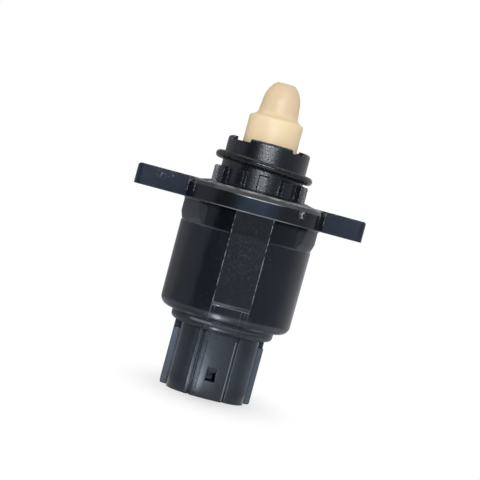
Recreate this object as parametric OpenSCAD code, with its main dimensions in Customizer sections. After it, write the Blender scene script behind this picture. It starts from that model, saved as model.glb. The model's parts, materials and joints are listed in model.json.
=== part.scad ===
// Idle air control valve with a screw-driven pintle.
// Millimetres, +Z along the axis towards the pintle. The origin is on the axis at the flange's
// mounting face, and the connector opens downwards. Radii build up from the rotor outwards and
// heights build down from the mounting face, so a change of one size carries its neighbours along.

/* [Motor] */
// Radius of the rotor magnet
magnet_r = 7.2; // [6:0.1:9]
// Radial air gap between the magnet and the claws
air_gap = 0.3; // [0.2:0.05:0.6]
// Sheet thickness of the four yokes
yoke_t = 0.9; // [0.6:0.05:1.4]
// Wall of the bobbin tubes
bobbin_wall = 0.8; // [0.5:0.05:1.2]
// Height of each bobbin over its flanges
bobbin_h = 7.2; // [5:0.1:9]
// Thickness of the bobbin flanges
bobbin_flange_t = 0.7; // [0.4:0.05:1.1]
// Radial depth of wire on each bobbin
winding_t = 2.8; // [1.5:0.1:4]
// Number of claws on each yoke
claw_count = 6; // [4:1:6]
// Width of a claw at its root
claw_root_w = 3.6; // [2.8:0.1:4.3]
// Width of a claw at its tip
claw_tip_w = 2.2; // [1.4:0.1:2.7]

/* [Rotor and screw] */
// Radius of the lead screw
screw_r = 2.5; // [2:0.1:3]
// Distance across the two guide flats of the screw
screw_flats = 4.1; // [3.2:0.1:4.7]
// Length of the nut thread in the rotor hub
nut_len = 9.7; // [7:0.1:12]
// Radius of the hub under the magnet
hub_r = 4.9; // [4.3:0.1:5.4]
// Radius of the rear journal of the hub
rear_journal_r = 3.6; // [3.2:0.1:4]
// Wall of the rear bush
bush_wall = 1.85; // [1.2:0.05:2.3]
// Thickness of the thrust washer on the rear bush
thrust_t = 0.4; // [0.25:0.05:0.8]

/* [Ball bearing] */
// Radius of the bearing's bore
bearing_bore_r = 4; // [3.4:0.1:4.5]
// Radial width between the bore and the outside of the bearing
bearing_section = 4; // [3.6:0.1:4.8]
// Width of the bearing
bearing_w = 5; // [4:0.1:6.5]
// Number of balls
ball_count = 9; // [6:1:9]
// Radius of a ball
ball_r = 1.45; // [1.2:0.05:1.7]
// Height of the wave washer between the bearing and the nose
wave_washer_h = 0.6; // [0.5:0.05:1]
// Thickness of the ring that holds the bearing on the hub
retainer_t = 0.55; // [0.3:0.05:0.6]

/* [Body] */
// Wall of the body around the motor
body_wall = 3.5; // [3:0.05:5]
// Depth of the relief that runs round the body under the flange
relief_depth = 1.2; // [0.6:0.05:1.8]
// Height of that relief
relief_h = 5.55; // [3.5:0.05:8]
// Bevel on the step at the foot of the relief
step_bevel = 0.3; // [0.1:0.05:0.6]
// How far the gussets under the ears stand out of the body
gusset_proud = 0.45; // [0:0.05:1]
// Fillet between the gussets and the flange
gusset_fillet = 0.6; // [0.2:0.05:1]
// Half width of the gussets at the flange
gusset_half_top = 10.85; // [8.5:0.05:11.5]
// Half width of the gussets at their foot
gusset_half_foot = 12.1; // [10.5:0.05:14]
// Height over which the gussets run out into the body at their foot
gusset_runout = 1.8; // [0.5:0.1:3]
// Thickness of the floor under the motor
floor_t = 4; // [3:0.05:6]
// Corner radius at the foot of the body
foot_round = 2.4; // [1:0.1:3]
// Radius lost to draft down the lower body
body_draft = 0.12; // [0:0.02:0.4]
// Radius of the round boss above the connector
boss_r = 13.25; // [12.8:0.05:15]
// Height of that boss
boss_h = 2.6; // [2:0.05:4]
// Width of the flat pad on the front
pad_w = 9.6; // [6:0.1:13]
// Length of that pad below the flange
pad_len = 23.45; // [15:0.05:28]
// How far the pad's face stands out of the body
pad_proud = 0.35; // [0.1:0.05:1]
// Edge radius at the pad's lower end
pad_round = 1; // [0.3:0.1:2]

/* [Flange] */
// Thickness of the flange
flange_t = 5.25; // [4:0.05:7]
// How far the round of the flange reaches past the body
disc_lip = 2; // [1:0.1:4]
// Width of the bevel round the top of the flange
rim_bevel = 1.5; // [0.5:0.1:2]
// Width of the two ears
ear_w = 14.8; // [12:0.1:18]
// Reach of the left ear past the round of the flange
ear_left = 11.7; // [9.8:0.1:16]
// Reach of the right ear past the round of the flange
ear_right = 9; // [7.8:0.1:13]
// Corner radius of the ears
ear_corner_r = 1.5; // [0.5:0.1:3]
// Edge radius at the top of the ears' ends
ear_edge = 0.8; // [0.2:0.1:1.2]
// Distance from the end of an ear to its hole
hole_inset = 6; // [5:0.1:7]
// Radius of the screw holes
hole_r = 2.8; // [2.2:0.05:3.4]
// Wall of the metal sleeves in the ears
sleeve_wall = 1.4; // [0.8:0.05:1.8]
// Width of the relief slots where the ears meet the round
slot_w = 1.6; // [0.8:0.1:2.4]
// Depth of those slots from the top of the flange
slot_depth = 3.1; // [2:0.1:4]

/* [Nose] */
// Thickness of the nose's base, which sits in the flange
nose_base_t = 2.6; // [2:0.05:3.2]
// Width of the ledge that carries the base
nose_ledge = 1.6; // [1:0.05:2]
// Outer radius of the neck
neck_r = 10.65; // [10:0.05:12.5]
// Wall of the neck
neck_wall = 1.7; // [1:0.05:2.2]
// Height of the neck's tabs above the flange
neck_h = 12.65; // [10:0.05:16]
// Height of the web that carries the guide plate, above the flange
web_top = 1.6; // [1:0.1:2.4]
// Depth of the gaps between the tabs
tab_gap_depth = 1; // [0.5:0.05:2]
// Number of ribs round the foot of the neck
rib_count = 12; // [8:1:14]
// How far the ribs stand out of the neck
rib_reach = 1.55; // [1:0.05:2.2]
// Width of a rib
rib_w = 2.3; // [1.5:0.05:3]
// Height of the ribs above the flange
rib_h = 4.6; // [3:0.05:5.5]
// Height of the collar at the foot of the ribs
collar_h = 0.6; // [0.3:0.05:1]
// Thickness of the sealing ring
seal_t = 2; // [1.4:0.05:2.4]
// Radial play of the sealing ring on the neck
seal_play = 0.12; // [0.05:0.01:0.3]
// Height of the sealing ring's centre above the ribs
seal_lift = 2.2; // [1.9:0.05:3]
// Angle at which the loose sealing ring sits askew
seal_tilt = 3.2; // [0:0.1:3.4]

/* [Pintle] */
// Radius of the pintle's cylinder
pintle_r = 7; // [6.2:0.1:8.4]
// Length of cylinder that shows above the neck
pintle_show = 6.4; // [6:0.05:9]
// Wall of the pintle's hollow skirt
skirt_wall = 1.3; // [0.9:0.05:1.5]
// Radius of the pintle's tip where it meets the shoulder
tip_root_r = 5.15; // [4.6:0.05:6]
// Radius of the tip under its dome
tip_neck_r = 4.85; // [4:0.05:5]
// Radius of the flat at the top
tip_flat_r = 2.4; // [0.8:0.05:2.8]
// Height of the sloping shoulder
shoulder_h = 0.95; // [0.6:0.05:2.4]
// Edge radius round the shoulder
shoulder_round = 0.6; // [0.2:0.1:0.8]
// Fillet between the shoulder and the tip
tip_fillet = 1.2; // [0.3:0.1:1.6]
// Height of the tip from the shoulder to the dome
tip_cone_h = 3; // [2:0.1:6]
// Height of the full dome of the tip
dome_h = 6.3; // [3.5:0.1:9]
// Thickness of the spring wire
spring_wire = 0.7; // [0.5:0.05:0.8]
// Number of turns of the spring
spring_turns = 7; // [5:1:8]
// Distance that the pintle can draw in from here
stroke_in = 6; // [3:0.5:6]
// Distance that the pintle can still reach out from here
stroke_out = 2; // [0.5:0.5:3]

/* [Connector] */
// Width of the connector
conn_w = 20; // [17:0.1:22.5]
// Depth of the connector from front to back
conn_d = 18.8; // [17:0.1:21]
// Corner radius of the connector
conn_corner_r = 5.5; // [3:0.1:7]
// Wall of the connector
conn_wall = 1.6; // [1.2:0.05:2]
// Length of the connector below the boss
conn_len = 16.8; // [14:0.1:20]
// Depth of the connector's socket
socket_depth = 14.4; // [11.5:0.1:15]
// How far the side ribs stand out of the connector
side_rib_reach = 1.7; // [1:0.1:2.6]
// Thickness of the side ribs
side_rib_t = 3.6; // [2:0.1:5]
// Height of the pockets at the tops of the side ribs
rib_pocket_h = 2.1; // [1:0.1:4]
// Depth of those pockets from the front of the ribs
rib_pocket_depth = 3; // [0.5:0.1:3.3]
// Width of the raised latch pad on the front
latch_w = 8.3; // [6:0.1:9.8]
// How far the latch pad's edges stand out of the front
latch_proud = 0.5; // [0.3:0.05:0.9]
// Width of the grooves on both sides of the latch pad
latch_groove_w = 0.45; // [0.2:0.05:0.7]
// Radius of the latch pad's curved face
latch_face_r = 18; // [14:1:30]
// Width of the latch window
window_w = 2.35; // [1.5:0.05:4]
// Height of the latch window
window_h = 3.4; // [2:0.1:5]
// Distance from the connector's mouth to the window
window_lift = 4.4; // [3:0.1:6.5]
// Distance between the terminals of a row
pin_pitch = 4.4; // [3.4:0.1:5.2]
// Distance between the two rows of terminals
row_pitch = 5.5; // [4.8:0.1:6.5]
// Width of a terminal
pin_w = 1.5; // [0.8:0.1:1.9]
// Thickness of a terminal
pin_t = 0.8; // [0.5:0.05:1]
// Distance from the connector's mouth to the tips of the terminals
pin_inset = 4.1; // [3.5:0.1:5.5]

/* [Hidden] */
$fn = 96;

// Clearances between pieces
press = 0.01;        // between pieces that are pressed, bonded or moulded together
slip = 0.05;         // radial clearance of pieces that drop into one another
running = 0.04;      // radial clearance of a journal, a nut thread or a guide
side_play = 0.05;    // axial play of the rotor on its thrust washer
eps = 0.1;           // how far a cutting shape overruns the surface it cuts

// Radii, from the rotor outwards
claw_in_r = magnet_r + air_gap;
claw_out_r = claw_in_r + yoke_t;
bobbin_in_r = claw_out_r + slip;
winding_in_r = bobbin_in_r + bobbin_wall;
winding_out_r = winding_in_r + winding_t;
winding_cover = 0.5;
yoke_in_r = winding_out_r + winding_cover;
yoke_r = yoke_in_r + yoke_t;
cavity_r = yoke_r + slip;
body_r = cavity_r + body_wall;
disc_r = body_r + disc_lip;
nose_base_r = cavity_r + nose_ledge;
bearing_r = bearing_bore_r + bearing_section;
bearing_pitch_r = (bearing_bore_r + bearing_r) / 2;
bush_r = rear_journal_r + running + bush_wall;
neck_bore_r = neck_r - neck_wall;
seal_r = neck_r + seal_play + seal_t / 2;

// Heights, from the mounting face down
bearing_top = -nose_base_t - wave_washer_h;
bearing_bottom = bearing_top - bearing_w;
stack_gap = 0.4;
stack_top = bearing_bottom - stack_gap;
unit_h = bobbin_h + 2 * yoke_t;
stack_mid = stack_top - unit_h;
stack_bottom = stack_mid - unit_h;
carrier_t = 2.4;
cavity_floor = stack_bottom - carrier_t;
body_foot = cavity_floor - floor_t;
boss_foot = body_foot - boss_h;
mouth_z = boss_foot - conn_len;
socket_floor = mouth_z + socket_depth;
pin_tip_z = mouth_z + pin_inset;
bush_top = stack_bottom + 0.2;
hub_shoulder = bush_top + thrust_t + side_play;
magnet_inset = 0.8;
magnet_bottom = hub_shoulder + magnet_inset;
magnet_top = stack_top - magnet_inset;
hub_rear_z = cavity_floor + 0.3;
retainer_top = bearing_top + retainer_t;
hub_front_z = retainer_top + 0.4;
nut_bottom = hub_front_z - nut_len;

// Heights, from the mounting face up
lip_z = neck_h - tab_gap_depth;
guide_plate_t = 0.8;
guide_top = web_top + guide_plate_t;
shoulder_z = neck_h + pintle_show;
skirt_z = guide_top + stroke_in + 0.6;
spring_seat_z = shoulder_z - 1.4;
screw_top_z = shoulder_z + 3.1;
screw_rear_z = nut_bottom - stroke_out - 5;
pintle_boss_r = screw_r + 1.2;
spring_r = (pintle_boss_r + pintle_r - skirt_wall) / 2;
seal_z = rib_h + seal_lift;

// Places across the flange
left_end_x = -(disc_r + ear_left);
right_end_x = disc_r + ear_right;
left_hole_x = left_end_x + hole_inset;
right_hole_x = right_end_x - hole_inset;
sleeve_r = hole_r + sleeve_wall;

// Tabs round the neck's rim: gap centre and width in degrees, from the front towards +X
front_tab_half = 31;
left_gap = 38;
right_gap = 21;

// Turns a drawing in radius and height into a solid of revolution.
module lathe(points) {
    rotate_extrude() polygon(points);
}

// Points on an arc in radius and height.
function arc(r, z, size, from, to, steps = 6) =
    [for (i = [0 : steps]) let (a = from + (to - from) * i / steps) [r + size * cos(a), z + size * sin(a)]];

// A tube between two heights.
module tube(r_in, r_out, z_low, z_high) {
    translate([0, 0, z_low]) difference() {
        cylinder(r = r_out, h = z_high - z_low);
        translate([0, 0, -eps]) cylinder(r = r_in, h = z_high - z_low + 2 * eps);
    }
}

// A box from one corner to the other.
module block(low, high) {
    translate(low) cube(high - low);
}

// A rectangle with true round corners.
module rounded_rectangle(w, d, r) {
    square([w - 2 * r, d], center = true);
    square([w, d - 2 * r], center = true);
    for (x = [-1, 1], y = [-1, 1])
        translate([x * (w / 2 - r), y * (d / 2 - r)]) circle(r = r);
}

// Flange: a round with a rounded rim, two ears of unequal reach and slots where they meet it.
module flange_form() {
    lathe([
        [0, -flange_t], [disc_r, -flange_t], [disc_r, -rim_bevel],
        [disc_r - rim_bevel, 0], [0, 0],
    ]);
    intersection() {
        translate([(left_end_x + right_end_x) / 2, 0, -flange_t])
            linear_extrude(flange_t) rounded_rectangle(right_end_x - left_end_x, ear_w, ear_corner_r);
        rotate([90, 0, 0]) linear_extrude(2 * ear_w, center = true) polygon(concat(
            [[left_end_x, -flange_t], [right_end_x, -flange_t]],
            arc(right_end_x - ear_edge, -ear_edge, ear_edge, 0, 90),
            arc(left_end_x + ear_edge, -ear_edge, ear_edge, 90, 180)
        ));
    }
}

module ear_slots() {
    slot_in = 1.2;
    slot_x = sqrt(disc_r * disc_r - ear_w * ear_w / 4) - slot_w;
    for (x = [-1, 1], y = [-1, 1])
        scale([x, y, 1])
            block([slot_x, ear_w / 2 - slot_in, -slot_depth], [slot_x + slot_w, disc_r, eps]);
}

// Body of revolution from the flange down to the boss above the connector.
module barrel() {
    relief_top_r = body_r - relief_depth;
    relief_foot_z = -flange_t - relief_h;
    foot_r = body_r - body_draft - foot_round;
    boss_edge = 1.2;
    lathe(concat(
        [[0, -flange_t + eps], [relief_top_r, -flange_t + eps], [relief_top_r, -flange_t]],
        [[body_r - step_bevel - 0.1, relief_foot_z], [body_r - step_bevel, relief_foot_z]],
        [[body_r, relief_foot_z - step_bevel]],
        arc(foot_r, body_foot + foot_round, foot_round, 0, -90),
        [[boss_r, body_foot]],
        arc(boss_r - boss_edge, boss_foot + boss_edge, boss_edge, 0, -90),
        [[0, boss_foot]]
    ));
}

// Gussets under the ears: the body's outer skin with a fillet at the flange and a run-out at the foot,
// trimmed by leaning planes towards the front and back.
module gussets() {
    foot_z = -flange_t - relief_h;
    gusset_r = body_r + gusset_proud;
    intersection() {
        lathe(concat(
            [[0, foot_z], [body_r - step_bevel / 2, foot_z], [gusset_r, foot_z + gusset_runout]],
            arc(gusset_r + gusset_fillet, -flange_t - gusset_fillet, gusset_fillet, 180, 90),
            [[gusset_r + gusset_fillet, -flange_t + eps], [0, -flange_t + eps]]
        ));
        rotate([90, 0, 90]) translate([0, 0, -2 * body_r]) linear_extrude(4 * body_r) polygon([
            [-gusset_half_foot, foot_z], [gusset_half_foot, foot_z],
            [gusset_half_top, -flange_t], [gusset_half_top, 0],
            [-gusset_half_top, 0], [-gusset_half_top, -flange_t],
        ]);
        union() {
            for (x = [-1, 1])
                scale([x, 1, 1]) block([body_r / 3, -body_r, foot_z - eps], [2 * body_r, body_r, eps]);
        }
    }
}

// Flat pad on the front, rounded at its lower end.
module front_pad() {
    face_y = -(body_r + pad_proud);
    root_y = -cavity_r - body_wall / 4;
    foot_z = -flange_t - pad_len;
    rotate([90, 0, 90]) translate([0, 0, -pad_w / 2]) linear_extrude(pad_w) polygon(concat(
        [[root_y, -flange_t + eps], [face_y, -flange_t + eps]],
        arc(face_y + pad_round, foot_z + pad_round, pad_round, 180, 270),
        [[root_y, foot_z]]
    ));
}

// Section of the connector: shroud, curved latch pad, a groove on each side of it and a small ridge.
module connector_section() {
    front_y = -conn_d / 2;
    ridge_w = 1;
    groove_depth = 0.35;
    difference() {
        union() {
            rounded_rectangle(conn_w, conn_d, conn_corner_r);
            translate([-latch_w / 2 - latch_groove_w - ridge_w, front_y - latch_proud / 2])
                square([ridge_w, conn_corner_r]);
        }
        for (x = [-latch_w / 2 - latch_groove_w, latch_w / 2])
            translate([x, front_y - latch_proud]) square([latch_groove_w, latch_proud + groove_depth]);
    }
    intersection() {
        translate([0, front_y - latch_proud + sqrt(latch_face_r ^ 2 - latch_w ^ 2 / 4)])
            circle(r = latch_face_r);
        translate([-latch_w / 2, front_y - latch_w / 2]) square([latch_w, latch_w]);
    }
}

// Outside of the connector, with its side ribs.
module connector_form() {
    translate([0, 0, mouth_z]) linear_extrude(conn_len + eps) connector_section();
    for (x = [-1, 1]) scale([x, 1, 1]) side_rib();
}

// Side rib from the mouth up to the boss, with a round foot and a pocket at its top.
module side_rib() {
    rib_in = conn_w / 2 - conn_wall / 2;
    rib_out = conn_w / 2 + side_rib_reach;
    foot_r = 0.6;
    difference() {
        rotate([90, 0, 0]) linear_extrude(side_rib_t, center = true) polygon(concat(
            [[rib_in, boss_foot + eps], [rib_in, mouth_z]],
            arc(rib_out - foot_r, mouth_z + foot_r, foot_r, -90, 0),
            [[rib_out, boss_foot + eps]]
        ));
        block([conn_w / 2, -side_rib_t / 2 - eps, boss_foot - rib_pocket_h],
            [rib_out + eps, -side_rib_t / 2 + rib_pocket_depth, boss_foot]);
    }
}

// Socket for the plug, and the window that its latch snaps into.
module socket_cut() {
    lead_in = 0.5;
    roof_slope = 1.3;
    front_y = -conn_d / 2;
    window_z = mouth_z + window_lift;
    translate([0, 0, mouth_z - eps]) linear_extrude(socket_depth + eps)
        rounded_rectangle(conn_w - 2 * conn_wall, conn_d - 2 * conn_wall, conn_corner_r - conn_wall);
    translate([0, 0, mouth_z - eps]) linear_extrude(lead_in + eps)
        rounded_rectangle(conn_w - conn_wall, conn_d - conn_wall, conn_corner_r - conn_wall / 2);
    rotate([90, 0, 90]) translate([0, 0, -window_w / 2]) linear_extrude(window_w) polygon([
        [front_y - 2 * latch_w, window_z], [front_y + 2 * conn_wall, window_z],
        [front_y + 2 * conn_wall, window_z + window_h - roof_slope],
        [front_y + conn_wall / 2, window_z + window_h - roof_slope],
        [front_y - latch_proud, window_z + window_h], [front_y - 2 * latch_w, window_z + window_h],
    ]);
}

// One bent terminal: a blade in the socket, a step outwards in the floor and a riser to the coils.
// The side is -1 for the front row and 1 for the back row.
module terminal_form(x, side, grow = 0) {
    half_w = pin_w / 2 + grow;
    half_t = pin_t / 2 + grow;
    row_y = row_pitch / 2;
    riser_y = bush_r + 2.5;
    step_z = body_foot + 0.6;
    riser_top = stack_bottom - 0.5;
    tip = pin_t * 0.8;
    tip_t = pin_t * 0.3;
    scale([1, side, 1]) translate([x, 0, 0]) {
        translate([0, row_y, 0]) rotate([90, 0, 90]) translate([0, 0, -half_w])
            linear_extrude(2 * half_w) polygon([
                [-half_t, step_z + pin_t], [-half_t, pin_tip_z + tip], [-tip_t, pin_tip_z - grow],
                [tip_t, pin_tip_z - grow], [half_t, pin_tip_z + tip], [half_t, step_z + pin_t],
            ]);
        block([-half_w, row_y - half_t, step_z - grow], [half_w, riser_y + half_t, step_z + pin_t + grow]);
        block([-half_w, riser_y - half_t, step_z], [half_w, riser_y + half_t, riser_top + grow]);
    }
}

module each_terminal(grow = 0) {
    for (column = [-1, 0, 1], side = [-1, 1]) terminal_form(column * pin_pitch, side, grow);
}

// A terminal by its column (-1, 0 or 1 from the left) and its row's side.
module terminal(column, side) {
    color("#c8b070") terminal_form(column * pin_pitch, side);
}

module housing() {
    color("#22252c") difference() {
        union() {
            flange_form();
            barrel();
            gussets();
            front_pad();
            connector_form();
        }
        translate([0, 0, cavity_floor]) cylinder(r = cavity_r, h = -cavity_floor + eps);
        translate([0, 0, -nose_base_t]) cylinder(r = nose_base_r + slip, h = nose_base_t + eps);
        for (x = [left_hole_x, right_hole_x])
            translate([x, 0, -flange_t - eps]) cylinder(r = sleeve_r + press, h = flange_t + 2 * eps);
        ear_slots();
        socket_cut();
        each_terminal(press);
    }
}

module sleeve(x) {
    color("#a9adb3") translate([x, 0, 0]) tube(hole_r, sleeve_r, -flange_t, 0);
}

// Sector of a circle in the plane, measured from the front (-Y) towards +X.
module sector(from, to, reach) {
    polygon(concat([[0, 0]], [for (i = [0 : 8])
        let (a = from + (to - from) * i / 8) [reach * sin(a), -reach * cos(a)]]));
}

// Nose: base in the flange, bearing seat below it, ribbed and notched neck above it.
module nose() {
    skirt_r = cavity_r - slip;
    rim_edge = 0.8;
    rib_r = neck_r + rib_reach;
    rib_edge = 0.35;
    collar_edge = 0.3;
    color("#1d1f24") difference() {
        union() {
            lathe(concat(
                [[0, stack_top], [skirt_r, stack_top], [skirt_r, -nose_base_t], [nose_base_r, -nose_base_t]],
                [[nose_base_r, 0], [rib_r + collar_edge, collar_h], [neck_r, collar_h]],
                arc(neck_r - rim_edge, neck_h - rim_edge, rim_edge, 0, 90),
                [[0, neck_h]]
            ));
            for (i = [0 : rib_count - 1]) rotate([0, 0, 360 * i / rib_count]) intersection() {
                block([-rib_w / 2, -rib_r - eps, -eps], [rib_w / 2, -neck_r + neck_wall / 2, rib_h]);
                lathe([[0, -eps], [rib_r, -eps], [rib_r, rib_h - rib_edge], [rib_r - rib_edge, rib_h], [0, rib_h]]);
            }
        }
        translate([0, 0, web_top]) cylinder(r = neck_bore_r, h = neck_h);
        translate([0, 0, stack_top - eps]) cylinder(r = bearing_r + press, h = -nose_base_t - stack_top + eps);
        translate([0, 0, stack_top]) cylinder(r = bearing_bore_r + 1.5, h = hub_front_z + 0.3 - stack_top);
        cylinder(r = screw_r + 0.3, h = 4 * nose_base_t, center = true);
        for (back = [1, -1]) scale([1, back, 1]) translate([0, 0, lip_z]) linear_extrude(neck_h) {
            sector(-front_tab_half - left_gap, -front_tab_half, 2 * neck_r);
            sector(front_tab_half, front_tab_half + right_gap, 2 * neck_r);
        }
    }
}

module sealing_ring() {
    color("#141417") translate([0, 0, seal_z]) rotate([0, seal_tilt, 0])
        rotate_extrude() translate([seal_r, 0]) circle(r = seal_t / 2);
}

// One trapezoid claw, standing up from the inner edge of a yoke.
module claw(length) {
    intersection() {
        tube(claw_in_r, claw_out_r, 0, length);
        rotate([90, 0, 0]) linear_extrude(2 * claw_out_r) polygon([
            [-claw_root_w / 2, -eps], [claw_root_w / 2, -eps],
            [claw_tip_w / 2, length], [-claw_tip_w / 2, length],
        ]);
    }
}

// Yoke with its ring at the bottom and claws standing up, and a wall round it for the cup form.
module yoke(with_wall) {
    claw_tip_gap = 0.6;
    lead_notch = 4.2;
    tube(claw_in_r, yoke_r, 0, yoke_t);
    for (i = [0 : claw_count - 1])
        rotate([0, 0, 360 * i / claw_count]) translate([0, 0, yoke_t - eps])
            claw(bobbin_h - claw_tip_gap + eps);
    if (with_wall) difference() {
        tube(yoke_in_r, yoke_r, 0, unit_h - yoke_t);
        block([-lead_notch / 2, -2 * yoke_r, unit_h - yoke_t - bobbin_h / 2], [lead_notch / 2, 0, unit_h]);
    }
}

// Bobbin: a flanged tube with a block that carries the wire ends out through the cup's notch.
module bobbin() {
    flange_r = yoke_in_r - slip;
    lead_block_w = 4;
    tube(bobbin_in_r, winding_in_r, 0, bobbin_h);
    for (z = [0, bobbin_h - bobbin_flange_t]) tube(bobbin_in_r, flange_r, z, z + bobbin_flange_t);
    intersection() {
        tube(winding_out_r + winding_cover / 2, yoke_r, bobbin_h / 2 + slip, bobbin_h);
        block([-lead_block_w / 2, -2 * yoke_r, 0], [lead_block_w / 2, 0, bobbin_h]);
    }
}

module winding() {
    tube(winding_in_r + press, winding_out_r, bobbin_flange_t + press, bobbin_h - bobbin_flange_t - press);
}

// Each coil unit has its cup on the outside and its plate at the middle of the stack.
half_claw = 180 / claw_count;
quarter_claw = half_claw / 2;

module rear_unit() { translate([0, 0, stack_bottom]) children(); }
module front_unit() { translate([0, 0, stack_top]) rotate([0, 0, quarter_claw]) mirror([0, 0, 1]) children(); }
module plate_place() { translate([0, 0, unit_h]) mirror([0, 0, 1]) rotate([0, 0, half_claw]) children(); }

module rear_cup_yoke() { color("#b8bcc0") rear_unit() yoke(true); }
module rear_plate_yoke() { color("#b0b4b8") rear_unit() plate_place() yoke(false); }
module front_cup_yoke() { color("#b8bcc0") front_unit() yoke(true); }
module front_plate_yoke() { color("#b0b4b8") front_unit() plate_place() yoke(false); }
module rear_bobbin() { color("#e8e2cf") rear_unit() translate([0, 0, yoke_t]) bobbin(); }
module front_bobbin() { color("#e8e2cf") front_unit() translate([0, 0, yoke_t]) bobbin(); }
module rear_winding() { color("#b4622c") rear_unit() translate([0, 0, yoke_t]) winding(); }
module front_winding() { color("#b4622c") front_unit() translate([0, 0, yoke_t]) winding(); }

module terminal_carrier() {
    color("#3a3d42") difference() {
        tube(bush_r + press, cavity_r - slip, cavity_floor, stack_bottom);
        each_terminal(press);
    }
}

module rear_bush() {
    color("#b08d4a") tube(rear_journal_r + running, bush_r, cavity_floor, bush_top);
}

module thrust_washer() {
    color("#c9ccd0") tube(rear_journal_r + slip, bush_r - slip, bush_top, bush_top + thrust_t);
}

// Hub: rear journal, seat for the magnet, front journal with a groove, nut thread at the front.
module rotor_hub() {
    seat_r = (hub_r + magnet_r) / 2;
    journal_r = bearing_bore_r - press;
    groove_depth = 0.35;
    clearance_bore_r = screw_r + 0.35;
    color("#d9d4c4") difference() {
        lathe([
            [0, hub_rear_z], [rear_journal_r, hub_rear_z], [rear_journal_r, hub_shoulder],
            [seat_r, hub_shoulder], [seat_r, magnet_bottom], [hub_r, magnet_bottom],
            [hub_r, bearing_bottom], [journal_r, bearing_bottom], [journal_r, bearing_top],
            [journal_r - groove_depth, bearing_top], [journal_r - groove_depth, retainer_top],
            [journal_r, retainer_top], [journal_r, hub_front_z], [0, hub_front_z],
        ]);
        translate([0, 0, hub_rear_z - eps]) cylinder(r = screw_r + running, h = hub_front_z - hub_rear_z + 2 * eps);
        translate([0, 0, hub_rear_z - eps]) cylinder(r = clearance_bore_r, h = nut_bottom - hub_rear_z + eps);
    }
}

module rotor_magnet() {
    color("#4a4a4e") tube(hub_r + press, magnet_r, magnet_bottom, magnet_top);
}

// Races: rings with a groove a little wider than the balls.
race_land = 0.85;
bearing_mid = (bearing_top + bearing_bottom) / 2;

module race(r_in, r_out) {
    edge = 0.3;
    translate([0, 0, bearing_mid]) rotate_extrude() difference() {
        polygon([
            [r_in, -bearing_w / 2 + edge], [r_in + edge, -bearing_w / 2], [r_out - edge, -bearing_w / 2],
            [r_out, -bearing_w / 2 + edge], [r_out, bearing_w / 2 - edge], [r_out - edge, bearing_w / 2],
            [r_in + edge, bearing_w / 2], [r_in, bearing_w / 2 - edge],
        ]);
        translate([bearing_pitch_r, 0]) circle(r = ball_r + running);
    }
}

module bearing_outer_ring() { color("#c4c8cc") race(bearing_pitch_r + race_land, bearing_r); }
module bearing_inner_ring() { color("#c4c8cc") race(bearing_bore_r, bearing_pitch_r - race_land); }

module each_ball(r) {
    for (i = [0 : ball_count - 1])
        rotate([0, 0, 360 * i / ball_count]) translate([bearing_pitch_r, 0, bearing_mid]) sphere(r = r);
}

module bearing_balls() { color("#dfe2e5") each_ball(ball_r); }

module bearing_cage() {
    half_w = 0.5;
    below = ball_r + 0.45;
    above = ball_r / 3;
    color("#8a6a3a") difference() {
        tube(bearing_pitch_r - half_w, bearing_pitch_r + half_w, bearing_mid - below, bearing_mid + above);
        each_ball(ball_r + running);
    }
}

// Washer bent into three waves, touching the bearing and the nose at its crests.
module wave_washer() {
    waves = 3;
    steps = 60;
    sheet = 0.25;
    r_in = bearing_pitch_r + race_land;
    r_out = bearing_r - 4 * slip;
    swing = (wave_washer_h - sheet - 2 * press) / 2;
    middle = bearing_top + wave_washer_h / 2;
    corners = [[r_in, -sheet / 2], [r_out, -sheet / 2], [r_out, sheet / 2], [r_in, sheet / 2]];
    points = [for (i = [0 : steps - 1], c = corners) let (a = 360 * i / steps)
        [c[0] * cos(a), c[0] * sin(a), middle + c[1] + swing * cos(waves * a)]];
    function at(i, k) = (i % steps) * 4 + k % 4;
    faces = [for (i = [0 : steps - 1], k = [0 : 3], half = [0, 1]) half == 0
        ? [at(i, k), at(i, k + 1), at(i + 1, k + 1)]
        : [at(i, k), at(i + 1, k + 1), at(i + 1, k)]];
    color("#9aa0a6") polyhedron(points, faces);
}

// Open ring in the hub's groove, on top of the bearing's inner ring.
module retaining_ring() {
    ring_in_r = bearing_bore_r - 0.3;
    ring_out_r = bearing_bore_r + 0.95;
    opening = 2.4;
    color("#6f747a") difference() {
        tube(ring_in_r, ring_out_r, bearing_top, retainer_top);
        block([0, -opening / 2, bearing_top - eps], [2 * ring_out_r, opening / 2, retainer_top + eps]);
    }
}

// Plate on the web of the nose, whose flat-sided hole keeps the screw from turning.
module guide_plate() {
    plate_r = neck_bore_r - slip;
    color("#b9bcc0") translate([0, 0, web_top]) difference() {
        cylinder(r = plate_r, h = guide_plate_t);
        translate([0, 0, -eps]) linear_extrude(guide_plate_t + 2 * eps) intersection() {
            circle(r = screw_r + running);
            square([screw_flats + 2 * running, 4 * screw_r], center = true);
        }
    }
}

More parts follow.
